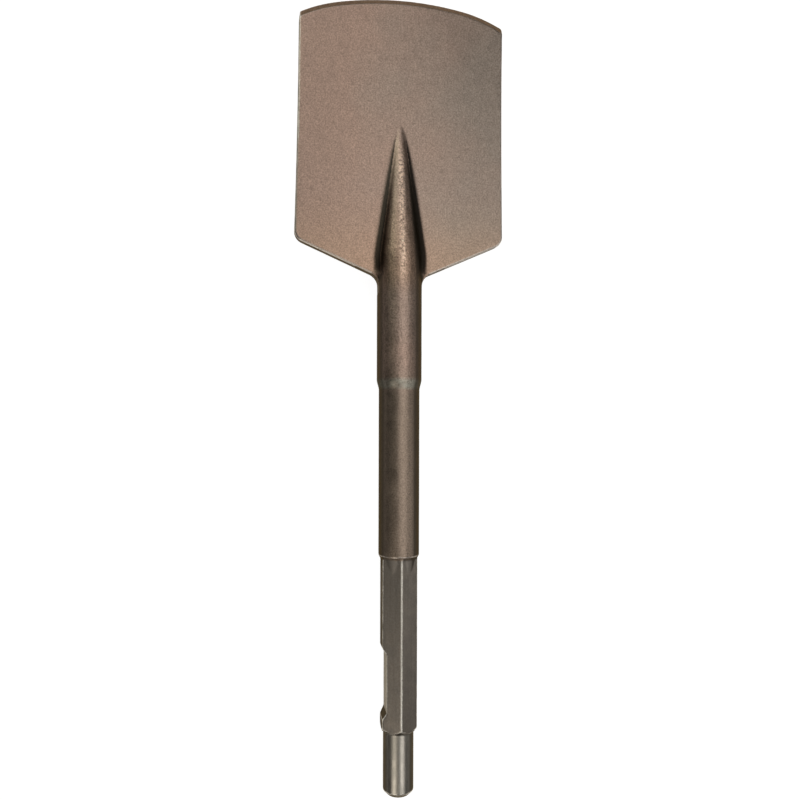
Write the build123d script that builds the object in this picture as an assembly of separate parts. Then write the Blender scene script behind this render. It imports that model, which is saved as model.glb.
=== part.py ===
from build123d import *
import math
import os

# Clay spade chisel: one forged steel piece for a breaker or demolition hammer.
# Millimetres. The tool lies along X, striking face at the origin and cutting
# edge towards +X, with its axis level. +Z is up. It is modelled flat, blade
# width along Y, and then rolled to the way it lies on a floor.

# Striking pin, the round end that the hammer hits
pin_diameter = 16.67
pin_length = 35.2
pin_end_chamfer = 2.5
pin_root_fillet = 0.5

# Hexagon that the tool holder guides, with two of its flats facing the blade's sides
hex_across_flats = 19.05
hex_length = 93.2
hex_corner_radius = 1.2
hex_end_chamfer = 1.9
hex_end_diameter = 17.8

# Run-out at the blade end of the hexagon, where the flats rise into the body
flare_length = 10.4
flare_start_diameter = 18.6
flare_end_diameter = 20.2

# Retaining notch, a flat milled across one side of the hexagon
notch_depth = 2.2
notch_floor_length = 31.2
notch_floor_start = 10.9
notch_ramp_near = 4.0
notch_ramp_far = 3.1
notch_floor_fillet = 0.6

# Round body, and the thicker neck above it
body_diameter = 22.25
body_length = 91.8
body_end_chamfer_length = 1.6
neck_diameter = 24.54
neck_step_length = 4.3

# Blade in plan
tool_length = 431.8
blade_width = 114.3
blade_top_width = 113.2
blade_height = 156.6
shoulder_angle = 23.7
heel_radius = 6.5
side_hollow = 0.4
top_corner_radius = 1.0

# Cutting edge in plan: a wide middle arc that tightens towards both corners
edge_middle_radius = 180.0
edge_middle_width = 68.0
edge_corner_radius = 80.0

# Blade in section
blade_root_thickness = 7.2
blade_edge_thickness = 5.6
bevel_height = 3.25
bevel_depth = 2.1
blade_rim_radius = 0.8

# Forged ridge, the neck running out to a point on both faces of the blade
ridge_setback = 5.4
ridge_length = 77.0
ridge_blend_radius = 60.0
ridge_root_fillet = 6.0
ridge_end_depth = 0.8

# Places and angles worked out from the sizes above
pin_radius = pin_diameter / 2
hex_across_corners = hex_across_flats / math.cos(math.radians(30))
body_radius = body_diameter / 2
neck_radius = neck_diameter / 2
shoulder_slope = math.tan(math.radians(shoulder_angle))
hex_start = pin_length
body_start = hex_start + hex_length
neck_start = body_start + body_length + neck_step_length
blade_start = tool_length - blade_height
ridge_start = blade_start + neck_radius * shoulder_slope + ridge_setback
ridge_tip = ridge_start + ridge_length


def blade_thickness_at(x):
    """Thickness of the blade plate at a distance from the striking face."""
    share = (x - blade_start) / blade_height
    return blade_root_thickness + (blade_edge_thickness - blade_root_thickness) * share


def striking_pin():
    """Round pin with its end chamfer and root fillet, reaching a little into the hexagon."""
    root_radius = pin_radius + pin_root_fillet
    inside = pin_length + hex_end_chamfer
    side = Polyline(
        (inside, 0),
        (0, 0),
        (0, pin_radius - pin_end_chamfer),
        (pin_end_chamfer, pin_radius),
        (pin_length - pin_root_fillet, pin_radius),
    )
    root = JernArc(side @ 1, (1, 0), pin_root_fillet, 90)
    seat = Polyline(root @ 1, (inside, root_radius), (inside, 0))
    return revolve(make_face(side + root + seat), Axis.X)


def hexagon():
    """Hexagon prism with its corners turned off at the pin end."""
    section = RegularPolygon(hex_across_flats / 2, 6, major_radius=False, rotation=30)
    section = fillet(section.vertices(), hex_corner_radius)
    prism_length = hex_length + body_end_chamfer_length
    prism = Pos(hex_start, 0, 0) * extrude(Plane.YZ * section, prism_length)
    outer_radius = hex_across_corners / 2
    turning = Polyline(
        (hex_start, 0),
        (hex_start, hex_end_diameter / 2),
        (hex_start + hex_end_chamfer, outer_radius),
        (hex_start + prism_length, outer_radius),
        (hex_start + prism_length, 0),
        close=True,
    )
    return prism & revolve(make_face(turning), Axis.X)


def retaining_notch():
    """Waste that the cutter takes out of the hexagon's flat on the +Y side."""
    flat = hex_across_flats / 2
    floor_start = hex_start + notch_floor_start
    floor_end = floor_start + notch_floor_length
    profile = Polyline(
        (floor_start - 2 * notch_ramp_near, flat + notch_depth),
        (floor_start, flat - notch_depth),
        (floor_end, flat - notch_depth),
        (floor_end + 2 * notch_ramp_far, flat + notch_depth),
        close=True,
    )
    waste = make_face(profile)
    waste = fillet(waste.vertices().sort_by(Axis.Y)[:2], notch_floor_fillet)
    return extrude(waste, hex_across_corners, both=True)


def lower_body():
    """Flared run-out of the hexagon, the body, and the step up to the neck."""
    profile = Polyline(
        (body_start - flare_length, 0),
        (body_start - flare_length, flare_start_diameter / 2),
        (body_start, flare_end_diameter / 2),
        (body_start + body_end_chamfer_length, body_radius),
        (neck_start - neck_step_length, body_radius),
        (neck_start, neck_radius),
        (neck_start, 0),
        close=True,
    )
    return revolve(make_face(profile), Axis.X)


def ridge_core():
    """Neck and the cone it tapers into, ending buried in the blade past the ridge tip."""
    tip_radius = blade_thickness_at(ridge_tip) / 2
    slope = (neck_radius - tip_radius) / ridge_length
    end = ridge_tip + ridge_end_depth / slope
    profile = Polyline(
        (neck_start, 0),
        (neck_start, neck_radius),
        (ridge_start, neck_radius),
        (end, tip_radius - ridge_end_depth),
        (end, 0),
        close=True,
    )
    face = make_face(profile)
    bend = face.vertices().sort_by_distance((ridge_start, neck_radius))[0]
    return revolve(fillet(bend, ridge_blend_radius), Axis.X)


def blade_outline():
    """Half plan of the blade, from the point where its shoulders would meet on the axis."""
    half_width = blade_width / 2
    heel = (blade_start + half_width * shoulder_slope, half_width)
    middle_angle = math.asin(edge_middle_width / 2 / edge_middle_radius)
    rest_of_width = (blade_top_width - edge_middle_width) / 2
    corner_angle = math.asin(math.sin(middle_angle) + rest_of_width / edge_corner_radius)
    turn = math.degrees(corner_angle - middle_angle)
    middle = JernArc((tool_length, 0), (0, 1), edge_middle_radius, math.degrees(middle_angle))
    corner = JernArc(middle @ 1, middle % 1, edge_corner_radius, turn)
    side = SagittaArc(corner @ 1, heel, side_hollow)
    root = Polyline(heel, (blade_start, 0), (tool_length, 0))
    outline = make_face(middle + corner + side + root)
    heel_vertex = outline.vertices().sort_by_distance(heel)[0]
    return fillet(heel_vertex, heel_radius)


def quarter_of(solid):
    """The quarter of a solid on the +Y and +Z sides of its axis."""
    corner = (Align.MIN, Align.MIN, Align.MIN)
    return solid & Box(2 * tool_length, blade_width, blade_width, align=corner)


def blade_face(plate):
    """Broad face of a quarter of the blade."""
    return plate.faces().filter_by(lambda face: face.normal_at().Z > 0.9).sort_by(SortBy.AREA)[-1]


def face_rim(plate):
    """Edges round the broad face, from the shoulder to the middle of the cutting edge."""
    rim = blade_face(plate).edges().filter_by(lambda edge: edge.center().Y > blade_rim_radius)
    return rim.sort_by(Axis.X)


def quarter_plate():
    """Quarter of the tapered blade, with its cutting bevel, corner and rounded rim."""
    taper = Polyline(
        (blade_start, 0),
        (blade_start, blade_root_thickness / 2),
        (tool_length, blade_edge_thickness / 2),
        (tool_length, 0),
        close=True,
    )
    wedge = extrude(Plane.XZ * make_face(taper), -blade_width)
    plate = wedge & extrude(blade_outline(), blade_root_thickness)
    side = face_rim(plate)[2]
    plate = chamfer(face_rim(plate)[-2:], bevel_height, bevel_depth, reference=blade_face(plate))
    corner = max(side.vertices(), key=lambda vertex: vertex.X)
    sharp = plate.edges().filter_by(lambda edge: abs(edge.center().Y - corner.Y) < bevel_depth)
    sharp = sharp.filter_by(lambda edge: 0 < corner.X - edge.center().X + 0.01 < bevel_height)
    plate = fillet(sharp, top_corner_radius)
    return fillet(face_rim(plate)[:3], blade_rim_radius)


def blade_head():
    """Neck, ridge and blade: a quarter with its root fillet, mirrored both ways."""
    core = quarter_of(ridge_core())
    plate = quarter_plate()
    joined = core + plate
    root_line = new_edges(core, plate, combined=joined)
    quarter = fillet(root_line, ridge_root_fillet)
    half = quarter + mirror(quarter, Plane.XY)
    return half + mirror(half, Plane.XZ)


def rest_roll():
    """Roll at which the neck and the rim of the heel on the -Y side both touch the floor."""
    heel_x = blade_start + blade_width / 2 * shoulder_slope
    across = blade_width / 2 - blade_rim_radius
    through = blade_thickness_at(heel_x) / 2 - blade_rim_radius
    reach = math.hypot(across, through)
    rise = math.asin((neck_radius - blade_rim_radius) / reach)
    return math.degrees(rise - math.atan2(through, across))


def spade_chisel():
    """The whole forging, rolled the way it lies."""
    shank = striking_pin() + (hexagon() - retaining_notch()) + lower_body()
    return Rot(rest_roll(), 0, 0) * (shank + blade_head())


if __name__ == "__main__":
    os.makedirs("parts", exist_ok=True)
    export_step(spade_chisel(), "parts/spade_chisel.step")
    print("rest roll, degrees:", round(rest_roll(), 2))
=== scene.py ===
"""A clay spade chisel, forged in one piece, lying on a pale studio floor.

The tool lies along X with its striking face at the origin and its cutting edge
towards +X. Every length below is in millimetres until it reaches a mesh.
"""

import logging
import math
from dataclasses import dataclass, field
from enum import Enum
from typing import Sequence

import bpy
import numpy as np
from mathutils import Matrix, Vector, noise


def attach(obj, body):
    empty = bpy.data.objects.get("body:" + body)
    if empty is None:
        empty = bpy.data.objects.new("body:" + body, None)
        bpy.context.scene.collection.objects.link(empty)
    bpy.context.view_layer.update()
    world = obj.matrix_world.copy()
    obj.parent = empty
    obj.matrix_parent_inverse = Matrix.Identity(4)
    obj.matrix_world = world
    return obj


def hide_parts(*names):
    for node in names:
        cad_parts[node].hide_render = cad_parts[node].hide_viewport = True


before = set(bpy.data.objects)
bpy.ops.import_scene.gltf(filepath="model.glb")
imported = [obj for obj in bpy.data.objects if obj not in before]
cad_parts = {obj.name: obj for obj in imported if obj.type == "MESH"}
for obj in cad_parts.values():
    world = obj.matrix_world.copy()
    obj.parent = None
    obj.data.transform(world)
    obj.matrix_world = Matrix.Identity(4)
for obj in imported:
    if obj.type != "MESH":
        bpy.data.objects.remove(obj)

MM = 0.001
BODY = "root"
NODE = "spade_chisel"

log = logging.getLogger("spade_chisel")

Piece = bpy.types.Object
Tree = bpy.types.NodeTree
Socket = bpy.types.NodeSocket
Span = tuple[float, float]


class Cut(Enum):
    """Which part of a solid is left when another solid cuts it."""

    OUTSIDE = "DIFFERENCE"
    INSIDE = "INTERSECT"


class Region(Enum):
    """Stretches of the skin with a finish of their own, in the order of its slots."""

    FORGING = 0
    HEXAGON = 1
    PIN = 2


# Working on meshes


def deselect_all() -> None:
    """Leaves nothing selected, so that an operator acts only on what comes next."""
    if bpy.context.object and bpy.context.object.mode != "OBJECT":
        bpy.ops.object.mode_set(mode="OBJECT")
    bpy.ops.object.select_all(action="DESELECT")


def make_active(piece: Piece) -> None:
    """Selects one piece alone and makes it the active one.

    Args:
        piece: The piece that operators act on next.
    """
    deselect_all()
    piece.select_set(True)
    bpy.context.view_layer.objects.active = piece


def edit_all(piece: Piece) -> None:
    """Opens a piece in edit mode with the whole of its mesh selected.

    Args:
        piece: The piece to edit.
    """
    make_active(piece)
    bpy.ops.object.mode_set(mode="EDIT")
    bpy.ops.mesh.select_all(action="SELECT")


def close_edit() -> None:
    """Leaves edit mode."""
    bpy.ops.object.mode_set(mode="OBJECT")


def new_piece(name: str, points: Sequence, edges: Sequence, faces: Sequence) -> Piece:
    """Makes an object from points in millimetres.

    Args:
        name: The object's name.
        points: Points in millimetres.
        edges: Pairs of point numbers.
        faces: Tuples of point numbers.

    Returns:
        The new object, linked to the scene.
    """
    mesh = bpy.data.meshes.new(name)
    mesh.from_pydata([tuple(MM * value for value in point) for point in points], edges, faces)
    piece = bpy.data.objects.new(name, mesh)
    bpy.context.scene.collection.objects.link(piece)
    return piece


def apply_modifier(piece: Piece, kind: str, **settings) -> None:
    """Adds a modifier with its settings and applies it.

    Args:
        piece: The object that is changed.
        kind: The modifier's type.
        settings: The modifier's own settings by name.
    """
    make_active(piece)
    modifier = piece.modifiers.new(kind.title(), kind)
    for name, value in settings.items():
        setattr(modifier, name, value)
    bpy.ops.object.modifier_apply(modifier=modifier.name)


def read(items: Sequence, name: str, width: int = 3, kind: type = np.float32) -> np.ndarray:
    """Reads one property of every vertex, edge or face of a mesh.

    Args:
        items: The vertices, edges or faces.
        name: The property, such as co or normal.
        width: How many numbers it has.
        kind: The type of those numbers.

    Returns:
        One row for each item.
    """
    values = np.empty(width * len(items), dtype=kind)
    items.foreach_get(name, values)
    return values.reshape(-1, width)


def coordinates(piece: Piece) -> np.ndarray:
    """Positions of a piece's vertices in millimetres, one row each."""
    return read(piece.data.vertices, "co").astype(float) / MM


def edge_ends(mesh: bpy.types.Mesh) -> np.ndarray:
    """Numbers of the two vertices at the ends of each edge, one row each."""
    return read(mesh.edges, "vertices", 2, np.int32)


def place_vertices(piece: Piece, points: np.ndarray) -> None:
    """Moves a piece's vertices to the given positions in millimetres."""
    piece.data.vertices.foreach_set("co", (points * MM).astype(np.float32).ravel())
    piece.data.update()


def arc(centre: np.ndarray, radius: float, angles: Sequence[float]) -> np.ndarray:
    """Points of an arc at the given angles, one row each."""
    return np.array([centre + radius * np.array([math.cos(a), math.sin(a)]) for a in angles])


def ramp(values: np.ndarray, start: float | np.ndarray, span: float) -> np.ndarray:
    """Rises from 0 at a start to 1 after a span, or the other way for a span below 0."""
    return np.clip((values - start) / span, 0, 1)


def turned(name: str, profile: Sequence, steps: int = 256) -> Piece:
    """Spins a profile about the tool's axis into a closed solid.

    Args:
        name: The object's name.
        profile: Distance along the axis and radius of each point, both ends on the axis.
        steps: Number of steps round the axis.

    Returns:
        The turned solid.
    """
    points = [(along, 0, radius) for along, radius in profile]
    piece = new_piece(name, points, [(i, i + 1) for i in range(len(points) - 1)], [])
    edit_all(piece)
    bpy.ops.mesh.spin(steps=steps, angle=2 * math.pi, center=(0, 0, 0), axis=(1, 0, 0))
    bpy.ops.mesh.select_all(action="SELECT")
    bpy.ops.mesh.remove_doubles(threshold=0.001 * MM)
    bpy.ops.mesh.normals_make_consistent(inside=False)
    close_edit()
    return piece


def bridged(name: str, rings: Sequence[np.ndarray]) -> Piece:
    """Joins closed rings of points, one to the next, and closes both ends.

    Args:
        name: The object's name.
        rings: Rings with the same number of points, in order.

    Returns:
        The closed solid.
    """
    count = len(rings[0])
    points = np.concatenate(rings)
    edges = [
        (start + i, start + (i + 1) % count)
        for start in range(0, len(points), count)
        for i in range(count)
    ]
    piece = new_piece(name, points, edges, [])
    owner = np.array(edges)[:, 0] // count
    make_active(piece)
    last = len(rings) - 1
    jobs = [((ring, ring + 1), bpy.ops.mesh.bridge_edge_loops) for ring in range(last)]
    jobs += [((ring,), bpy.ops.mesh.edge_face_add) for ring in (0, last)]
    for members, fill in jobs:
        chosen = np.zeros(len(piece.data.edges), dtype=bool)
        chosen[: len(owner)] = np.isin(owner, members)
        select_edges(piece, chosen)
        bpy.ops.object.mode_set(mode="EDIT")
        fill()
        close_edit()
    edit_all(piece)
    bpy.ops.mesh.normals_make_consistent(inside=False)
    close_edit()
    return piece


def select_edges(piece: Piece, chosen: np.ndarray) -> None:
    """Selects some edges of a piece, and nothing else.

    Args:
        piece: The piece, out of edit mode.
        chosen: True for each edge that is wanted.
    """
    mesh = piece.data
    points = np.zeros(len(mesh.vertices), dtype=bool)
    points[edge_ends(mesh)[chosen].ravel()] = True
    mesh.polygons.foreach_set("select", np.zeros(len(mesh.polygons), dtype=bool))
    mesh.edges.foreach_set("select", chosen)
    mesh.vertices.foreach_set("select", points)
    bpy.context.tool_settings.mesh_select_mode = (False, True, False)


def cut(piece: Piece, tool: Piece, left: Cut) -> None:
    """Cuts a piece with a tool, which is used up, and keeps the stated part of it."""
    apply_modifier(piece, "BOOLEAN", operation=left.value, object=tool, solver="EXACT")
    bpy.data.objects.remove(tool)


def rounded_path(points: Sequence, radii: Sequence[float], step: float) -> np.ndarray:
    """Runs a path through points, with an arc at each corner and no run longer than a step.

    Args:
        points: Corners of the path.
        radii: Radius at each corner, 0 for a sharp one.
        step: Longest run between two points of the result.

    Returns:
        The points of the path, one row each.
    """
    points = [np.array(point, dtype=float) for point in points]
    path = [points[0]]
    for before, corner, after, radius in zip(points, points[1:], points[2:], radii[1:]):
        if radius == 0:
            path.append(corner)
            continue
        inward = (before - corner) / np.linalg.norm(before - corner)
        outward = (after - corner) / np.linalg.norm(after - corner)
        half = math.acos(np.clip(inward @ outward, -1, 1)) / 2
        bisector = (inward + outward) / np.linalg.norm(inward + outward)
        centre = corner + bisector * radius / math.sin(half)
        start = corner + inward * radius / math.tan(half) - centre
        end = corner + outward * radius / math.tan(half) - centre
        turn = math.pi - 2 * half
        for share in np.linspace(0, 1, 3 + int(radius * turn / step)):
            mixed = math.sin((1 - share) * turn) * start + math.sin(share * turn) * end
            path.append(centre + mixed / math.sin(turn))
    path.append(points[-1])
    result = [path[0]]
    for here, there in zip(path, path[1:]):
        pieces = max(1, math.ceil(np.linalg.norm(there - here) / step))
        result += [here + (there - here) * (i + 1) / pieces for i in range(pieces)]
    return np.array(result)


# The forging, part by part


@dataclass
class StrikingPin:
    """Round pin that the hammer hits, with a chamfer that blows have burred."""

    diameter: float = 16.67
    length: float = 35.2
    end_chamfer: float = 2.5
    root_fillet: float = 0.5
    end_burr: float = 0.25
    rim_burr: float = 0.35
    reach: float = 3.0
    step: float = 1.0

    def build(self) -> Piece:
        """Turns the pin, reaching a little into the hexagon.

        Returns:
            The pin.
        """
        radius = self.diameter / 2
        inside = self.length + self.reach
        path = rounded_path(
            [
                (0, 0),
                (0, radius - self.end_chamfer),
                (self.end_chamfer, radius),
                (self.length, radius),
                (self.length, radius + 4 * self.root_fillet),
            ],
            [0, self.end_burr, self.rim_burr, self.root_fillet, 0],
            self.step,
        )
        root = radius + self.root_fillet
        seat = [(self.length, root), (inside, root), (inside, 0)]
        return turned("striking_pin", [*path[:-1], *seat])


@dataclass
class HexagonShank:
    """Hexagon that the tool holder guides, turned down at its pin end."""

    across_flats: float = 19.05
    start: float = 35.2
    length: float = 94.8
    corner_radius: float = 1.2
    end_chamfer: float = 1.9
    end_diameter: float = 17.8
    corner_segments: int = 8

    @property
    def corner_distance(self) -> float:
        """Distance from the axis to a sharp corner."""
        return self.across_flats / 2 / math.cos(math.radians(30))

    def build(self) -> Piece:
        """Adds a six-sided bar, rounds its corners and turns its end.

        Returns:
            The hexagon, two of its flats facing the blade's sides.
        """
        deselect_all()
        bpy.ops.mesh.primitive_cylinder_add(
            vertices=6,
            radius=self.corner_distance * MM,
            depth=self.length * MM,
            location=((self.start + self.length / 2) * MM, 0, 0),
            rotation=(0, math.radians(90), 0),
        )
        bar = bpy.context.object
        bar.name = "hexagon_shank"
        bpy.ops.object.transform_apply(location=True, rotation=True, scale=True)
        self.round_corners(bar)
        self.turn_end(bar)
        return bar

    def round_corners(self, bar: Piece) -> None:
        """Rounds the six long corners and sets two flats towards the blade's sides.

        Args:
            bar: The six-sided bar, still with a corner on +Y.
        """
        along = coordinates(bar)[edge_ends(bar.data)][:, :, 0]
        select_edges(bar, np.ptp(along, axis=1) > self.length / 2)
        bpy.ops.object.mode_set(mode="EDIT")
        setback = self.corner_radius * math.tan(math.radians(30))
        bpy.ops.mesh.bevel(offset=setback * MM, segments=self.corner_segments, profile=0.5)
        close_edit()
        bar.rotation_euler = (math.radians(30), 0, 0)
        bpy.ops.object.transform_apply(location=True, rotation=True, scale=True)

    def turn_end(self, bar: Piece) -> None:
        """Turns the corners off at the pin end.

        Args:
            bar: The rounded bar.
        """
        outer = self.corner_distance + 1
        end = self.start + self.length
        slope = (self.corner_distance - self.end_diameter / 2) / self.end_chamfer
        profile = [
            (self.start, 0),
            (self.start, self.end_diameter / 2),
            (self.start + (outer - self.end_diameter / 2) / slope, outer),
            (end + 1, outer),
            (end + 1, 0),
        ]
        cut(bar, turned("turning", profile), Cut.INSIDE)


@dataclass
class RetainingNotch:
    """Flat milled across the hexagon's +Y side, where the holder's pin catches."""

    flat: float = 9.525
    depth: float = 2.2
    floor_start: float = 46.1
    floor_length: float = 31.2
    ramp_near: float = 4.0
    ramp_far: float = 3.1
    floor_fillet: float = 0.6
    waste_reach: float = 15.0
    step: float = 4.0
    tolerance: float = 0.35

    def mill(self, bar: Piece) -> None:
        """Takes the notch out of the hexagon.

        Args:
            bar: The hexagon.
        """
        floor_end = self.floor_start + self.floor_length
        path = rounded_path(
            [
                (self.floor_start - 2 * self.ramp_near, self.flat + self.depth),
                (self.floor_start, self.flat - self.depth),
                (floor_end, self.flat - self.depth),
                (floor_end + 2 * self.ramp_far, self.flat + self.depth),
            ],
            [0, self.floor_fillet, self.floor_fillet, 0],
            self.step,
        )
        low, high = (
            np.column_stack([path, np.full(len(path), level)])
            for level in (-self.waste_reach, self.waste_reach)
        )
        cut(bar, bridged("notch_waste", [low, high]), Cut.OUTSIDE)

    def on_floor(self, points: np.ndarray) -> np.ndarray:
        """Tells which points lie on the notch's freshly milled floor.

        Args:
            points: Points in millimetres.

        Returns:
            True for each point on the floor.
        """
        within = np.abs(points[:, 0] - self.floor_start - self.floor_length / 2)
        close = np.abs(points[:, 1] - self.flat + self.depth) < self.tolerance
        return close & (within < self.floor_length / 2)


@dataclass
class ForgedBody:
    """Run-out of the hexagon, body, step, neck and the cone that runs out into the blade."""

    flare_start: float = 118.0
    flare_start_radius: float = 9.3
    body_start: float = 128.4
    flare_end_radius: float = 10.1
    body_end_chamfer: float = 1.6
    body_radius: float = 11.125
    step_start: float = 220.2
    neck_start: float = 224.5
    neck_radius: float = 12.27
    ridge_start: float = 292.5
    ridge_end: float = 369.17
    ridge_end_radius: float = 2.35
    ridge_blend: float = 60.0
    chamfer_blend: float = 0.6
    body_blend: float = 1.0
    step_foot_blend: float = 3.0
    step_head_blend: float = 4.0
    step: float = 0.8

    def build(self) -> Piece:
        """Turns the whole of the body, ending in a point buried in the blade.

        Returns:
            The body, with the ridge still round.
        """
        path = rounded_path(
            [
                (self.flare_start, 0),
                (self.flare_start, self.flare_start_radius),
                (self.body_start, self.flare_end_radius),
                (self.body_start + self.body_end_chamfer, self.body_radius),
                (self.step_start, self.body_radius),
                (self.neck_start, self.neck_radius),
                (self.ridge_start, self.neck_radius),
                (self.ridge_end, self.ridge_end_radius),
                (self.ridge_end, 0),
            ],
            [
                0, 0, self.chamfer_blend, self.body_blend, self.step_foot_blend,
                self.step_head_blend, self.ridge_blend, 0, 0,
            ],
            self.step,
        )
        return turned("forged_body", path)


@dataclass
class SpadeBlade:
    """Tapered plate with a bevelled cutting edge, and the fillet along the ridge's root."""

    tool_length: float = 431.8
    width: float = 114.3
    top_width: float = 113.2
    height: float = 156.6
    shoulder_angle: float = 23.7
    heel_radius: float = 6.5
    side_hollow: float = 0.4
    top_corner_radius: float = 1.0
    raised_corner_in: float = 1.8
    lowered_corner_out: float = 0.4
    least_slope: float = 0.88
    nick_along: float = 420.6
    nick_length: float = 0.9
    nick_depth: float = 0.55
    edge_middle_radius: float = 180.0
    edge_middle_width: float = 68.0
    edge_corner_radius: float = 80.0
    root_thickness: float = 7.2
    edge_thickness: float = 5.6
    bevel_height: float = 3.25
    bevel_depth: float = 2.1
    rim_radius: float = 0.8
    root_fillet: float = 6.0
    neck_radius: float = 12.27
    neck_cover: float = 0.4
    neck_run: float = 12.0
    rim_levels: int = 7
    corner_cut: float = 1.2
    corner_reach: float = 1.3
    side_band: float = 1.5
    nick_band: float = 4.0
    web_lead: float = 4.0
    web_margin: float = 1.0
    least_fillet: float = 0.05
    middle_points: int = 48
    corner_points: int = 40
    step: float = 0.8
    bevel_clearance: float = 0.3
    bevel_border: float = 0.4
    root_clearance: float = 0.2
    root_steepness: Span = (0.12, 0.32)
    side_steepness: Span = (0.45, 0.35)
    raised_steepness: float = 0.62
    flank_run_in: float = 16.0
    crest_reach: float = 2.24
    crest_fade: float = 1.6
    crest_run_in: float = 15.0
    swing_share: float = 0.85

    @property
    def start(self) -> float:
        """Where the shoulders would meet on the axis."""
        return self.tool_length - self.height

    def half_thickness(self, along: np.ndarray) -> np.ndarray:
        """Half the plate's thickness at distances from the striking face."""
        share = (along - self.start) / self.height
        return (self.root_thickness + (self.edge_thickness - self.root_thickness) * share) / 2

    def half_plan(self, lean: float = 0.0) -> tuple[np.ndarray, np.ndarray]:
        """Runs from the middle of the cutting edge to the neck.

        Args:
            lean: How far the top corner stands out beyond its plain place.

        Returns:
            Points in plan, and 1 for each that belongs to the cutting edge. The stretch of
            the side that the bevel runs out through has no points of its own.
        """
        first = math.asin(self.edge_middle_width / 2 / self.edge_middle_radius)
        reach = self.top_width / 2 + lean - self.edge_middle_width / 2
        last = math.asin(math.sin(first) + reach / self.edge_corner_radius)
        middle = np.array([self.tool_length - self.edge_middle_radius, 0])
        joint = np.array([math.cos(first), math.sin(first)])
        corner_centre = middle + (self.edge_middle_radius - self.edge_corner_radius) * joint
        cutoff = self.corner_cut * self.top_corner_radius / self.edge_corner_radius
        wide = np.linspace(0, first, self.middle_points)
        tight = np.linspace(first, last - cutoff, self.corner_points)[1:]
        arcs = np.concatenate([
            arc(middle, self.edge_middle_radius, wide),
            arc(corner_centre, self.edge_corner_radius, tight),
        ])
        corner = arc(corner_centre, self.edge_corner_radius, [last])[0]
        slope = math.tan(math.radians(self.shoulder_angle))
        heel = np.array([self.start + self.width / 2 * slope, self.width / 2])
        neck_side = self.neck_radius - self.neck_cover
        root = np.array([self.start + neck_side * slope, neck_side])
        neck_end = root - np.array([self.neck_run, 0])
        web_fillet = self.root_fillet + self.web_margin
        rest_of_path = rounded_path(
            [arcs[-1], corner, heel, root, neck_end, (neck_end[0], 0)],
            [0, self.top_corner_radius, self.heel_radius, web_fillet, 0, 0],
            self.step,
        )
        path = np.concatenate([arcs[:-1], rest_of_path])
        along_side = np.clip((path[:, 0] - heel[0]) / (corner[0] - heel[0]), 0, 1)
        on_side = path[:, 1] > min(corner[1], heel[1]) - self.side_band
        path[:, 1] -= on_side * self.side_hollow * 4 * along_side * (1 - along_side)
        reach = self.corner_reach * self.top_corner_radius
        at_corner = np.linalg.norm(path - corner, axis=1) < reach
        on_edge = (np.arange(len(path)) < len(arcs)) | at_corner
        bevel_end = corner[0] - self.bevel_height / self.least_slope - self.bevel_clearance
        kept = on_edge | (path[:, 0] < bevel_end)
        return path[kept], on_edge[kept].astype(float)

    def plan(self) -> tuple[np.ndarray, np.ndarray]:
        """Whole outline in plan, both sides.

        Returns:
            Points of the closed outline, and how much of each belongs to the cutting edge.
        """
        half, share = self.half_plan(-self.raised_corner_in)
        nick = np.exp(-(((half[:, 0] - self.nick_along) / self.nick_length) ** 2))
        half[:, 1] -= self.nick_depth * nick * (half[:, 1] > self.top_width / 2 - self.nick_band)
        other, other_share = self.half_plan(self.lowered_corner_out)
        outline = np.concatenate([half, other[1:-1][::-1] * (1, -1)])
        return outline, np.concatenate([share, other_share[1:-1][::-1]])

    def build(self) -> Piece:
        """Bridges rings from one broad face over the rim and bevel to the other.

        Returns:
            The blade's plate.
        """
        outline, share = self.plan()
        ahead = np.roll(outline, -1, axis=0) - np.roll(outline, 1, axis=0)
        outward = np.column_stack([ahead[:, 1], -ahead[:, 0]])
        outward /= np.linalg.norm(outward, axis=1)[:, None]
        if outward[0, 0] < 0:
            outward = -outward
        bevel_back = share * self.bevel_height / np.maximum(outward[:, 0], self.least_slope)
        upper = []
        for level in np.linspace(0, 1, self.rim_levels):
            turn = level * math.pi / 2
            inset = (1 - share) * self.rim_radius * (1 - math.cos(turn))
            drop = share * self.bevel_depth * (1 - level)
            drop += (1 - share) * self.rim_radius * (1 - math.sin(turn))
            ring = outline - outward * inset[:, None]
            ring[:, 0] -= bevel_back * level
            upper.append(np.column_stack([ring, self.half_thickness(ring[:, 0]) - drop]))
        lower = [ring * (1, 1, -1) for ring in upper]
        return bridged("spade_blade", upper[::-1] + lower)

    def web_width(self, along: np.ndarray) -> np.ndarray:
        """Measures the blade's shoulders.

        Args:
            along: Distances from the striking face.

        Returns:
            Distance from the axis to the shoulder's outline at each of them.
        """
        half, _ = self.half_plan()
        shoulder = half[half[:, 1] < self.width / 2 - self.heel_radius]
        shoulder = shoulder[shoulder[:, 0] < self.start + self.width / 2]
        order = np.argsort(shoulder[:, 0])
        return np.interp(along, shoulder[order, 0], shoulder[order, 1])

    def bevel_share(self, points: np.ndarray) -> np.ndarray:
        """How far each point lies on the cutting bevel.

        Args:
            points: Points in millimetres.

        Returns:
            A share from 0 to 1 for each point.
        """
        share = np.zeros(len(points))
        for side, lean in ((1, -self.raised_corner_in), (-1, self.lowered_corner_out)):
            half, on_edge = self.half_plan(lean)
            edge = half[on_edge > 0.5]
            ahead = np.gradient(edge, axis=0)
            facing = np.abs(ahead[:, 1]) / np.linalg.norm(ahead, axis=1)
            border = edge[:, 0] - self.bevel_height / np.maximum(facing, self.least_slope)
            border = np.interp(side * points[:, 1], edge[:, 1], border)
            here = ramp(points[:, 0], border - self.bevel_border / 2, self.bevel_border)
            share = np.where(side * points[:, 1] >= 0, here, share)
        return share

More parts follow.
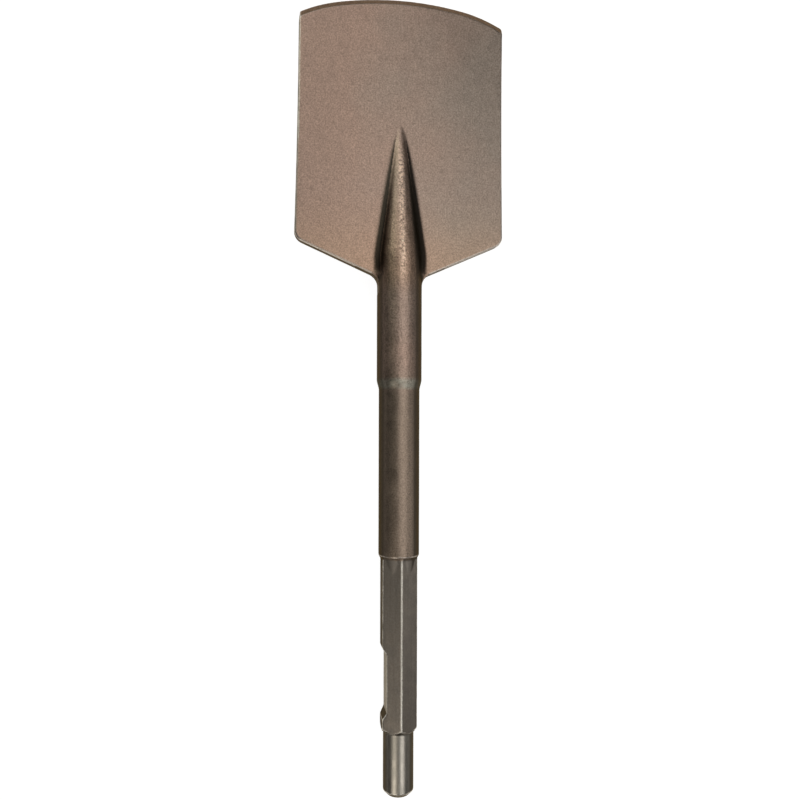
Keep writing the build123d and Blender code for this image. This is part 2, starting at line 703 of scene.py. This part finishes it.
    def painted_root_shade(self, points: np.ndarray, normals: np.ndarray,
                    radius: np.ndarray) -> np.ndarray:
        """How deep each point lies in the painted shade along the ridge's root and its steep
        flanks.

        Args:
            points: Points in millimetres.
            normals: The skin's direction at each point.
            radius: The ridge's own radius at each point.

        Returns:
            A share from 0 to 1 for each point.
        """
        steep = np.abs(normals[:, 1])
        near = ramp(points[:, 0], self.start, self.flank_run_in)
        near *= np.abs(points[:, 1]) < 2 * self.neck_radius
        in_root = np.hypot(points[:, 1], points[:, 2]) > radius + self.root_clearance
        on_root = ramp(steep, *self.root_steepness)
        lowered, span = self.side_steepness
        on_side = ramp(steep, np.where(normals[:, 1] > 0, self.raised_steepness, lowered), span)
        return near * np.where(in_root, on_root, on_side)

    def ridge_crest(self, points: np.ndarray) -> np.ndarray:
        """How near each point is to the ridge's upper crest line, from 0 to 1."""
        near = ramp(np.abs(points[:, 1]), self.crest_reach, -self.crest_fade) * (points[:, 2] > 0)
        return near * ramp(points[:, 0], self.start, self.crest_run_in)

    def draw_root(self, body: Piece) -> None:
        """Draws the sides of the ridge out into the fillet that meets the blade.

        Args:
            body: The turned body, whose rings are still circles.
        """
        points = coordinates(body)
        along = points[:, 0]
        radius = np.hypot(points[:, 1], points[:, 2])
        half = self.half_thickness(along)
        edge = self.web_width(along)
        inside = (along > self.start - self.web_lead) & (radius > half + 0.01)
        radius_here = np.where(inside, radius, 1.0)
        half_here = np.where(inside, half, 0.5)
        full = np.sqrt((radius_here + self.root_fillet) ** 2 - (half_here + self.root_fillet) ** 2)
        centre_y = np.minimum(full, np.maximum(edge, 1e-6))
        fillet = (centre_y**2 - radius_here**2 + half_here**2) / (2 * (radius_here - half_here))
        inside &= fillet > self.least_fillet
        fillet = np.where(inside, fillet, 1.0)
        contact = np.arctan2(centre_y, half_here + fillet)
        angle = np.arctan2(np.abs(points[:, 1]), np.abs(points[:, 2]))
        below = inside & (angle > contact)
        travel = np.clip((angle - contact) / (math.pi / 2 - contact), 0, 1)
        swing = contact * np.clip(1 - travel / self.swing_share, 0, 1)
        side = centre_y - fillet * np.sin(swing)
        height = half_here + fillet - fillet * np.cos(swing)
        height *= np.clip((1 - travel) / (1 - self.swing_share), 0, 1)
        points[:, 1] = np.where(below, np.sign(points[:, 1]) * side, points[:, 1])
        points[:, 2] = np.where(below, np.sign(points[:, 2]) * height, points[:, 2])
        place_vertices(body, points)


@dataclass
class SpadeChisel:
    """The whole forging: its parts are fused into one skin and then dressed."""

    pin: StrikingPin = field(default_factory=StrikingPin)
    hexagon: HexagonShank = field(default_factory=HexagonShank)
    notch: RetainingNotch = field(default_factory=RetainingNotch)
    body: ForgedBody = field(default_factory=ForgedBody)
    blade: SpadeBlade = field(default_factory=SpadeBlade)
    roll: float = 9.01656695
    voxel: float = 0.4
    quick_voxel: float = 0.8
    most_triangles: int = 196000
    unevenness: float = 0.03
    core_grain: float = 0.02
    edge_reach: float = 1.0
    edge_height: float = 0.08
    painted_bevel_highlight: float = 0.9
    least_bevel_highlight: float = 0.2
    milled_wear: float = 0.66
    painted_root_shade_depth: float = 1.2
    uneven_size: float = 5.0
    bump_size: float = 1.5
    head_run_in: float = 4.0
    core_from_axis: Span = (2.0, 3.0)
    core_off_plate: Span = (0.8, 2.0)
    painted_side_shade_tilt: Span = (0.92, -0.27)
    pin_border: float = 0.2

    def build(self) -> Piece:
        """Makes the parts and fuses them.

        Returns:
            The fused skin, still flat.
        """
        pin = self.pin.build()
        log.info("striking pin turned")
        bar = self.hexagon.build()
        self.notch.mill(bar)
        log.info("hexagon shank rounded, turned and notched")
        body = self.body.build()
        self.blade.draw_root(body)
        log.info("body turned and its ridge drawn out")
        plate = self.blade.build()
        log.info("blade bridged")
        skin = self.fuse([body, pin, bar, plate])
        log.info("fused into one skin of %d faces", len(skin.data.polygons))
        return skin

    def fuse(self, parts: list[Piece]) -> Piece:
        """Fuses overlapping solids into one even skin.

        Args:
            parts: The solids, the first of which stays.

        Returns:
            The fused skin.
        """
        deselect_all()
        for part in parts:
            part.select_set(True)
        skin = parts[0]
        bpy.context.view_layer.objects.active = skin
        bpy.ops.object.join()
        skin.name = skin.data.name = "forged_chisel"
        voxel = self.voxel
        apply_modifier(skin, "REMESH", mode="VOXEL", voxel_size=voxel * MM)
        apply_modifier(skin, "SMOOTH", factor=0.5, iterations=3)
        return skin

    def lay_down(self, skin: Piece) -> None:
        """Rolls the finished skin to the way the tool rests, and thins it.

        Args:
            skin: The fused skin, still flat.
        """
        triangles = 2 * len(skin.data.polygons)
        if triangles > self.most_triangles:
            apply_modifier(skin, "DECIMATE", ratio=self.most_triangles / triangles)
        self.mark_surface(skin)
        make_active(skin)
        skin.rotation_euler = (math.radians(self.roll), 0, 0)
        bpy.ops.object.transform_apply(location=True, rotation=True, scale=True)
        bpy.ops.object.shade_smooth()

    def core_share(self, points: np.ndarray) -> np.ndarray:
        """How far each point lies on the hammered core of the neck and the ridge.

        Args:
            points: Points in millimetres.

        Returns:
            A share from 0 to 1 for each point.
        """
        along = points[:, 0]
        share = ramp(along, self.body.step_start, self.head_run_in)
        share = share * ramp(np.hypot(points[:, 1], points[:, 2]), *self.core_from_axis)
        over = np.abs(points[:, 2]) - self.blade.half_thickness(along)
        return share * np.where(along > self.blade.start, ramp(over, *self.core_off_plate), 1)

    def sharpness(self, mesh: bpy.types.Mesh, points: np.ndarray,
                  normals: np.ndarray) -> np.ndarray:
        """How far each point stands out from, or lies under, the skin round it.

        Args:
            mesh: The skin's mesh.
            points: Its points in millimetres.
            normals: The skin's direction at each point.

        Returns:
            About 1 on a sharp edge and -1 in a sharp hollow.
        """
        ends = edge_ends(mesh)
        count = np.bincount(ends.ravel(), minlength=len(points))[:, None]
        smooth = points.copy()
        voxel = self.voxel
        for _ in range(round(self.edge_reach / voxel**2)):
            total = np.zeros_like(smooth)
            np.add.at(total, ends[:, 0], smooth[ends[:, 1]])
            np.add.at(total, ends[:, 1], smooth[ends[:, 0]])
            smooth = 0.5 * smooth + 0.5 * total / count
        return ((points - smooth) * normals).sum(axis=1) / self.edge_height

    def mark_surface(self, skin: Piece) -> None:
        """Roughens the skin a little and notes its edges, hollows, bevel, hammered core and crest,
        and where painted shade and highlights go.

        Args:
            skin: The thinned skin, still flat.
        """
        mesh = skin.data
        points = coordinates(skin)
        normals = read(mesh.vertices, "normal")
        core = self.core_share(points)
        uneven, bumps = (
            np.array([noise.noise(Vector(point / size)) for point in points])
            for size in (self.uneven_size, self.bump_size)
        )
        height = self.unevenness * uneven - self.unevenness + self.core_grain * core * (bumps - 1)
        points += normals * height[:, None] * (points[:, 0] > self.pin.length)[:, None]
        place_vertices(skin, points)
        edge = self.sharpness(mesh, points, normals)
        bevel = self.blade.bevel_share(points)
        # Painted highlight: a bright line along the bevel's border joins the edge mark, which the
        # finish turns bright.
        line = 4 * bevel * (1 - bevel)
        edge = np.where(line > self.least_bevel_highlight, np.maximum(edge, self.painted_bevel_highlight * line), edge)
        radius = np.interp(
            points[:, 0],
            [self.body.ridge_start, self.body.ridge_end],
            [self.body.neck_radius, self.body.ridge_end_radius],
        )
        # Painted shade: the ridge's root and flanks are pushed into the hollow end of the edge
        # mark, which the finish darkens.
        edge -= self.painted_root_shade_depth * self.blade.painted_root_shade(points, normals, radius)
        edge = np.where(self.notch.on_floor(points), np.maximum(edge, self.milled_wear), edge)
        # Painted shade: faces that tilt away from up once the tool is rolled are noted under side,
        # and the finish darkens them.
        roll = math.radians(self.roll)
        upright = np.abs(math.cos(roll) * normals[:, 2] + math.sin(roll) * normals[:, 1])
        self.note(skin, "side", ramp(upright, *self.painted_side_shade_tilt))
        self.note(skin, "edge", np.clip(edge, -1, 1))
        self.note(skin, "core", core)
        # The crest mark places the painted glints along the ridge's crest.
        self.note(skin, "crest", core * self.blade.ridge_crest(points))
        self.note(skin, "bevel", bevel)

    def note(self, skin: Piece, name: str, values: np.ndarray) -> None:
        """Stores one value at each vertex under a name that the finishes read."""
        layer = skin.data.attributes.new(name, "FLOAT", "POINT")
        layer.data.foreach_set("value", values.astype(np.float32))

    def dress(self, skin: Piece) -> None:
        """Gives the pin, the hexagon and the forging their finishes.

        Args:
            skin: The finished skin.
        """
        skin.data.materials.clear()
        for finish in (BlastedForging(), GroundHexagon(), TurnedPin()):
            skin.data.materials.append(finish.build())
        along = read(skin.data.polygons, "center")[:, 0] / MM
        slots = np.where(along < self.body.body_start, Region.HEXAGON.value, Region.FORGING.value)
        slots[along < self.pin.length - self.pin_border] = Region.PIN.value
        skin.data.polygons.foreach_set("material_index", slots.astype(np.int32))


# Finishes


def linear(colour: str) -> tuple[float, float, float, float]:
    """Turns an sRGB hex colour into the linear values that Blender works in.

    Args:
        colour: The colour, such as "#97897d".

    Returns:
        Red, green, blue and an alpha of 1.
    """
    channels = [int(colour[i : i + 2], 16) / 255 for i in (1, 3, 5)]
    values = [c / 12.92 if c <= 0.04045 else ((c + 0.055) / 1.055) ** 2.4 for c in channels]
    return (*values, 1.0)


def per_size(millimetres: float) -> float:
    """Noise scale that gives features of the stated size."""
    return 1 / (millimetres * MM)


def add(tree: Tree, kind: str, inputs: dict, output: int | str = 0, **settings) -> Socket:
    """Adds a node with its settings, values and links.

    Args:
        tree: The node tree that takes it.
        kind: The node's type, without the ShaderNode that all of them start with.
        inputs: By socket name or number, a value or the socket that feeds it.
        output: Name or number of the output that is wanted.
        settings: The node's own settings by name.

    Returns:
        The wanted output.
    """
    node = tree.nodes.new("ShaderNode" + kind)
    for name, value in settings.items():
        setattr(node, name, value)
    for key, value in inputs.items():
        if isinstance(value, Socket):
            tree.links.new(value, node.inputs[key])
        else:
            node.inputs[key].default_value = value
    return node.outputs[output]


MIX_A, MIX_B = 6, 7
COLOUR_MIX = {"output": 2, "data_type": "RGBA"}


@dataclass(frozen=True)
class SteelFinish:
    """What the finishes of the one forging share: mottling, grain, worn edges, painted shade in
    hollows and on the sides.

    Grain and streaks are under half a millimetre on real steel, finer than the picture can
    show, so each is drawn as coarse as it needs to be seen.
    """

    name: str = "steel"
    colour: str = "#97897d"
    second_colour: str = "#857b73"
    worn_and_highlight_colour: str = "#cfc4b8"
    painted_hollow_shade_colour: str = "#47433b"
    painted_hollow_shade_depth: float = 0.6
    painted_hollow_shade_span: Span = (-0.12, -0.9)
    painted_side_shade_colour: str = "#2b2823"
    painted_side_shade_depth: float = 0.9
    grazing_colour: str = "#c6baa9"
    roughness: float = 0.45
    roughness_swing: float = 0.05
    roughness_span: Span = (0.3, 0.7)
    worn_roughness: float = 0.3
    mottle_size: float = 7.0
    mottle_depth: float = 0.1
    mottle_span: Span = (0.35, 0.65)
    grain_size: float = 0.9
    grain_depth: float = 0.2
    grain_height: float = 0.03
    pit_size: float = 1.15
    pit_depth: float = 0.0
    streak: tuple[float, float, float] = (1.0, 1.0, 1.0)
    streak_size: float = 2.0
    streak_depth: float = 0.0
    streak_height: float = 0.0
    pattern_span: Span = (0.25, 0.75)
    wear_start: float = 0.6
    wear_full: float = 1.5

    def build(self) -> bpy.types.Material:
        """Makes the material.

        Returns:
            The material, whose patterns follow the skin's own coordinates and marks.
        """
        material = bpy.data.materials.new(self.name)
        material.use_nodes = True
        tree = material.node_tree
        shader = tree.nodes["Principled BSDF"]
        shader.inputs["Metallic"].default_value = 1.0
        shader.inputs["Specular Tint"].default_value = linear(self.grazing_colour)
        place = add(tree, "TexCoord", {}, "Object")
        drawn = add(tree, "Mapping", {"Vector": place, "Scale": self.streak})
        edge, side, core = (
            add(tree, "Attribute", {}, "Fac", attribute_name=name)
            for name in ("edge", "side", "core")
        )
        mottle, grain, pits, streaks = (
            add(tree, "TexNoise", {"Vector": where, "Scale": per_size(size), "Detail": detail})
            for where, size, detail in (
                (place, self.mottle_size, 3.0),
                (place, self.grain_size, 2.0),
                (place, self.pit_size, 2.0),
                (drawn, self.streak_size, 3.0),
            )
        )
        colour = self.tint(tree, place, mottle)
        for pattern, depth in (
            (mottle, self.mottle_depth),
            (grain, self.grain_depth),
            (streaks, self.streak_depth),
        ):
            colour = self.shade(tree, colour, pattern, depth)
        # The worn colour carries real wear on sharp edges and the painted highlight along the
        # bevel's border.
        worn = self.worn_and_highlight_share(tree, edge, grain)
        # Painted shade: hollows, and the ridge root marked as hollow, are mixed towards a dark
        # colour.
        start, full = self.painted_hollow_shade_span
        hollow = add(
            tree, "MapRange",
            {"Value": edge, "From Min": start, "From Max": full, "To Max": self.painted_hollow_shade_depth},
        )
        # Painted shade: the side mark mixes the colour towards a near-black shade on faces that
        # turn away from up.
        side = add(tree, "Math", {0: side, 1: self.painted_side_shade_depth}, operation="MULTIPLY")
        for share, other in (
            (side, self.painted_side_shade_colour),
            (worn, self.worn_and_highlight_colour),
            (hollow, self.painted_hollow_shade_colour),
        ):
            colour = add(tree, "Mix", {0: share, MIX_A: colour, MIX_B: linear(other)}, **COLOUR_MIX)
        low, high = self.roughness_span
        rough = add(
            tree, "MapRange",
            {
                "Value": mottle, "From Min": low, "From Max": high,
                "To Min": self.roughness - self.roughness_swing,
                "To Max": self.roughness + self.roughness_swing,
            },
        )
        rough = add(tree, "Mix", {0: worn, 2: rough, 3: self.worn_roughness})
        bump = add(tree, "Bump", {"Height": grain, "Distance": self.grain_height * MM})
        bump = add(
            tree, "Bump",
            {"Height": streaks, "Distance": self.streak_height * MM, "Normal": bump},
        )
        bump = add(
            tree, "Bump",
            {"Strength": core, "Height": pits, "Distance": self.pit_depth * MM, "Normal": bump},
        )
        for name, value in (("Base Color", colour), ("Roughness", rough), ("Normal", bump)):
            tree.links.new(value, shader.inputs[name])
        return material

    def tint(self, tree: Tree, place: Socket, mottle: Socket) -> Socket:
        """Blends the two plain colours in soft patches.

        Args:
            tree: The material's tree.
            place: The object's own coordinates, not used here.
            mottle: The soft patches.

        Returns:
            The plain colour of each place.
        """
        low, high = self.mottle_span
        share = add(tree, "MapRange", {"Value": mottle, "From Min": low, "From Max": high})
        ends = {MIX_A: linear(self.colour), MIX_B: linear(self.second_colour)}
        return add(tree, "Mix", {0: share, **ends}, **COLOUR_MIX)

    def shade(self, tree: Tree, colour: Socket, pattern: Socket, depth: float) -> Socket:
        """Darkens and lightens a colour by a pattern, evenly about its middle.

        Args:
            tree: The material's tree.
            colour: The colour that is changed.
            pattern: A noise between 0 and 1.
            depth: How far the colour swings each way.

        Returns:
            The shaded colour.
        """
        low, high = self.pattern_span
        value = add(
            tree, "MapRange",
            {
                "Value": pattern, "From Min": low, "From Max": high,
                "To Min": 1 - depth, "To Max": 1 + depth,
            },
        )
        return add(
            tree, "Mix", {0: 1.0, MIX_A: colour, MIX_B: value},
            blend_type="MULTIPLY", **COLOUR_MIX,
        )

    def worn_and_highlight_share(self, tree: Tree, edge: Socket, grain: Socket) -> Socket:
        """How far each place is worn bright on sharp edges, or lit by the painted highlight along
        the bevel's border, broken up by the grain.

        Args:
            tree: The material's tree.
            edge: How sharp the skin is.
            grain: The grain that breaks up the wear.

        Returns:
            A share from 0 to 1.
        """
        broken = add(tree, "Math", {0: grain, 1: edge, 2: edge}, operation="MULTIPLY_ADD")
        return add(
            tree, "MapRange",
            {"Value": broken, "From Min": self.wear_start, "From Max": self.wear_full},
        )


@dataclass(frozen=True)
class BlastedForging(SteelFinish):
    """Forged steel, shot-blasted clean of scale: brown-grey, with a fine even peened grain.

    The hammered core of the ridge and the neck keeps a coarser grain with dark speckles,
    and painted glints, a painted highlight, lie along its crest. The blade turns from warm
    to grey across its width, is painted lighter towards its middle, and its shoulders are
    tanned where they cooled last; a pale painted reflection lies on the step. Each span
    gives where a mark starts and where it is full, in millimetres or, for the mottle, the
    speckle and the painted glints, in values of the noise.
    """

    name: str = "shot_blasted_forged_steel"
    colour: str = "#b09585"
    second_colour: str = "#a29386"
    painted_hollow_shade_colour: str = "#2a2823"
    painted_hollow_shade_depth: float = 0.9
    grain_size: float = 0.75
    grain_depth: float = 0.34
    grain_height: float = 0.04
    tan_colour: str = "#bd9d83"
    bevel_colour: str = "#ab8f79"
    body_colour: str = "#9c8a7a"
    painted_step_reflection_colour: str = "#c4cabb"
    speckle_colour: str = "#5c5348"
    painted_glint_colour: str = "#ffe0c6"
    pit_depth: float = 0.16
    cloud_size: float = 45.0
    cloud_share: float = 0.9
    mottle_span: Span = (0.75, 1.35)
    across_span: Span = (60.0, -60.0)
    painted_middle_light_span: Span = (55.0, 0.0)
    painted_middle_light_depth: float = 0.05
    tan_span: Span = (330.0, 280.0)
    tan_depth: float = 0.6
    blade_span: Span = (268.0, 283.0)
    body_span: Span = (232.0, 216.0)
    step_middle: float = 223.0
    painted_step_reflection_span: Span = (3.6, 1.4)
    speckle_span: Span = (0.5, 0.34)
    speckle_depth: float = 0.35
    painted_glint_span: Span = (0.36, 0.66)

    def tint(self, tree: Tree, place: Socket, mottle: Socket) -> Socket:
        """Turns from warm to grey across the blade, with tanned shoulders and a browner bevel, and
        paints light: a lighter middle on the blade, a pale reflection at the step and glints on the
        crest.

        Args:
            tree: The material's tree.
            place: The object's own coordinates.
            mottle: The soft patches.

        Returns:
            The plain colour of each place.
        """
        along, across = (add(tree, "SeparateXYZ", {0: place}, axis) for axis in ("X", "Y"))
        clouds, speckle = (
            add(tree, "TexNoise", {"Vector": place, "Scale": per_size(size), "Detail": 2.0})
            for size in (self.cloud_size, self.pit_size)
        )
        bevel, core, crest = (
            add(tree, "Attribute", {}, "Fac", attribute_name=name)
            for name in ("bevel", "core", "crest")
        )
        past_step = add(tree, "Math", {0: along, 1: self.step_middle * MM}, operation="SUBTRACT")
        off_middle, off_step = (
            add(tree, "Math", {0: value}, operation="ABSOLUTE")
            for value in (across, past_step)
        )
        cooler, middle, tanned, on_blade, body, step, speckled, painted_glints = (
            add(
                tree, "MapRange",
                {
                    "Value": value, "To Max": most,
                    "From Min": span[0] * unit, "From Max": span[1] * unit,
                },
                interpolation_type=fade,
            )
            for value, span, unit, most, fade in (
                (across, self.across_span, MM, 1.0, "LINEAR"),
                (off_middle, self.painted_middle_light_span, MM, 1.0, "LINEAR"),
                (along, self.tan_span, MM, self.tan_depth, "SMOOTHSTEP"),
                (along, self.blade_span, MM, 1.0, "SMOOTHSTEP"),
                (along, self.body_span, MM, 1.0, "LINEAR"),
                (off_step, self.painted_step_reflection_span, MM, 1.0, "LINEAR"),
                (speckle, self.speckle_span, 1, self.speckle_depth, "LINEAR"),
                (speckle, self.painted_glint_span, 1, 1.0, "LINEAR"),
            )
        )
        tanned, step, speckled, painted_glints = (
            add(tree, "Math", {0: mark, 1: where}, operation="MULTIPLY")
            for mark, where in (
                (tanned, on_blade), (step, mottle), (speckled, core), (painted_glints, crest)
            )
        )
        share = add(
            tree, "Math", {0: clouds, 1: self.cloud_share, 2: cooler},
            operation="MULTIPLY_ADD",
        )
        colour = super().tint(tree, place, share)
        # Painted light: the blade is made lighter towards its middle and darker towards its sides.
        colour = self.shade(tree, colour, middle, self.painted_middle_light_depth)
        for share, other in (
            (tanned, self.tan_colour),
            (body, self.body_colour),
            # Painted reflection: a pale grey-green patch round the step between body and neck.
            (step, self.painted_step_reflection_colour),
            (bevel, self.bevel_colour),
            (speckled, self.speckle_colour),
            # Painted highlight: warm glints speckled along the crest.
            (painted_glints, self.painted_glint_colour),
        ):
            colour = add(tree, "Mix", {0: share, MIX_A: colour, MIX_B: linear(other)}, **COLOUR_MIX)
        return colour


@dataclass(frozen=True)
class GroundHexagon(SteelFinish):
    """Drawn hexagon, lightly ground: a cooler grey than the forging, with corners rubbed bright."""

    name: str = "ground_hexagon_steel"
    colour: str = "#9f958a"
    second_colour: str = "#938b82"
    worn_and_highlight_colour: str = "#e2dccf"
    roughness: float = 0.5
    mottle_depth: float = 0.06
    grain_depth: float = 0.12
    streak: tuple[float, float, float] = (0.04, 1.0, 1.0)
    streak_size: float = 1.2
    streak_depth: float = 0.1
    streak_height: float = 0.01
    wear_start: float = 0.7
    wear_full: float = 1.6


@dataclass(frozen=True)
class TurnedPin(SteelFinish):
    """Turned and hammered striking pin: semi-bright, with fine streaks along its length."""

    name: str = "turned_striking_pin_steel"
    colour: str = "#bab3a7"
    second_colour: str = "#aca69b"
    worn_and_highlight_colour: str = "#e4ddd1"
    roughness: float = 0.36
    mottle_depth: float = 0.06
    grain_depth: float = 0.1
    grain_height: float = 0.015
    streak: tuple[float, float, float] = (0.05, 1.0, 1.0)
    streak_size: float = 1.0
    streak_depth: float = 0.12
    streak_height: float = 0.02


# The studio


@dataclass(frozen=True)
class Softbox:
    """A rectangular soft light, aimed at the middle of the tool.

    The tilts say where it hangs, seen from there: towards the cutting edge, and towards the
    camera's right.
    """

    name: str
    along_tilt: float
    across_tilt: float
    distance: float
    width: float
    height: float
    brightness: float
    colour: str = "#ffffff"

    def hang(self, aim: tuple[float, float, float]) -> None:
        """Hangs the light.

        Args:
            aim: The place that it faces, in metres.
        """
        along, across = math.radians(self.along_tilt), math.radians(self.across_tilt)
        way = Vector(
            (
                math.sin(along),
                -math.sin(across) * math.cos(along),
                math.cos(across) * math.cos(along),
            )
        )
        light = bpy.data.lights.new(self.name, "AREA")
        light.shape = "RECTANGLE"
        light.size = self.width
        light.size_y = self.height
        light.color = linear(self.colour)[:3]
        light.energy = math.pi * self.width * self.height * self.brightness
        lamp = bpy.data.objects.new(self.name, light)
        lamp.location = Vector(aim) + self.distance * way
        lamp.rotation_euler = way.to_track_quat("Z", "Y").to_euler()
        bpy.context.scene.collection.objects.link(lamp)


@dataclass
class Studio:
    """White sweep of paper, soft lights and the camera above the tool."""

    floor_level: float = -12.27
    floor_size: float = 6000.0
    floor_middle: float = 200.0
    paper: float = 0.25
    paper_glow: float = 0.94
    room: float = 0.04
    camera_height: float = 436.5
    camera_along: float = 214.2
    camera_across: float = -0.5
    camera_turn: float = -89.85
    lens: float = 36.0
    aim: tuple[float, float, float] = (0.25, 0.0, 0.0)
    lights: tuple[Softbox, ...] = (
        Softbox("key_softbox", 2.0, 23.0, 0.9, 0.85, 0.72, 1.25),
        Softbox("back_softbox", 44.0, -6.0, 0.9, 0.55, 0.4, 1.3),
        Softbox("right_strip", -15.0, 74.0, 0.9, 0.4, 0.4, 1.3),
        Softbox("left_back_softbox", 36.0, -34.0, 0.9, 0.4, 0.4, 2.4, "#d3dfd2"),
        Softbox("left_low_softbox", -44.0, -29.0, 1.0, 0.4, 0.4, 2.4, "#f4efe6"),
        Softbox("right_low_softbox", -38.0, 30.0, 1.0, 0.35, 0.35, 2.0),
    )

    def build(self) -> None:
        """Sets up the floor, the lights, the world and the camera."""
        self.lay_floor()
        for light in self.lights:
            light.hang(self.aim)
        self.fill_world()
        self.set_camera()

    def lay_floor(self) -> None:
        """Lays the paper that the tool rests on, which the camera sees as white."""
        deselect_all()
        bpy.ops.mesh.primitive_plane_add(
            size=self.floor_size * MM, location=(self.floor_middle * MM, 0, self.floor_level * MM)
        )
        floor = bpy.context.object
        floor.name = "studio_floor"
        material = bpy.data.materials.new("white_paper_sweep")
        material.use_nodes = True
        tree = material.node_tree
        tree.nodes.remove(tree.nodes["Principled BSDF"])
        paper = add(tree, "BsdfDiffuse", {"Color": (self.paper, self.paper, self.paper, 1)})
        seen, mirrored, through = (
            add(tree, "LightPath", {}, name)
            for name in ("Is Camera Ray", "Is Glossy Ray", "Is Transmission Ray")
        )
        for other in (mirrored, through):
            seen = add(tree, "Math", {0: seen, 1: other}, operation="ADD", use_clamp=True)
        seen = add(tree, "Math", {0: seen, 1: self.paper_glow}, operation="MULTIPLY")
        glow = add(tree, "Emission", {"Strength": seen})
        both = add(tree, "AddShader", {0: paper, 1: glow})
        tree.links.new(both, tree.nodes["Material Output"].inputs["Surface"])
        floor.data.materials.append(material)

    def fill_world(self) -> None:
        """Gives the room a low even level."""
        world = bpy.data.worlds.new("studio_room")
        world.use_nodes = True
        background = world.node_tree.nodes["Background"]
        background.inputs["Color"].default_value = (1, 1, 1, 1)
        background.inputs["Strength"].default_value = self.room
        bpy.context.scene.world = world

    def set_camera(self) -> None:
        """Looks straight down on the middle of the tool, cutting edge up."""
        camera = bpy.data.cameras.new("photo_camera")
        camera.lens = self.lens
        holder = bpy.data.objects.new("photo_camera", camera)
        holder.location = (self.camera_along * MM, self.camera_across * MM, self.camera_height * MM)
        holder.rotation_euler = (0, 0, math.radians(self.camera_turn))
        bpy.context.scene.collection.objects.link(holder)
        bpy.context.scene.camera = holder


def main() -> None:
    """Builds the chisel, dresses it and sets the studio round it."""
    logging.basicConfig(level=logging.INFO, format="%(name)s: %(message)s")
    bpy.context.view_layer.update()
    chisel = SpadeChisel()
    skin = chisel.build()
    chisel.lay_down(skin)
    chisel.dress(skin)
    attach(skin, BODY)
    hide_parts(NODE)
    log.info("laid down as it rests, %d faces", len(skin.data.polygons))
    Studio().build()
    bpy.context.scene.view_settings.view_transform = "Standard"


if __name__ == "__main__":
    main()
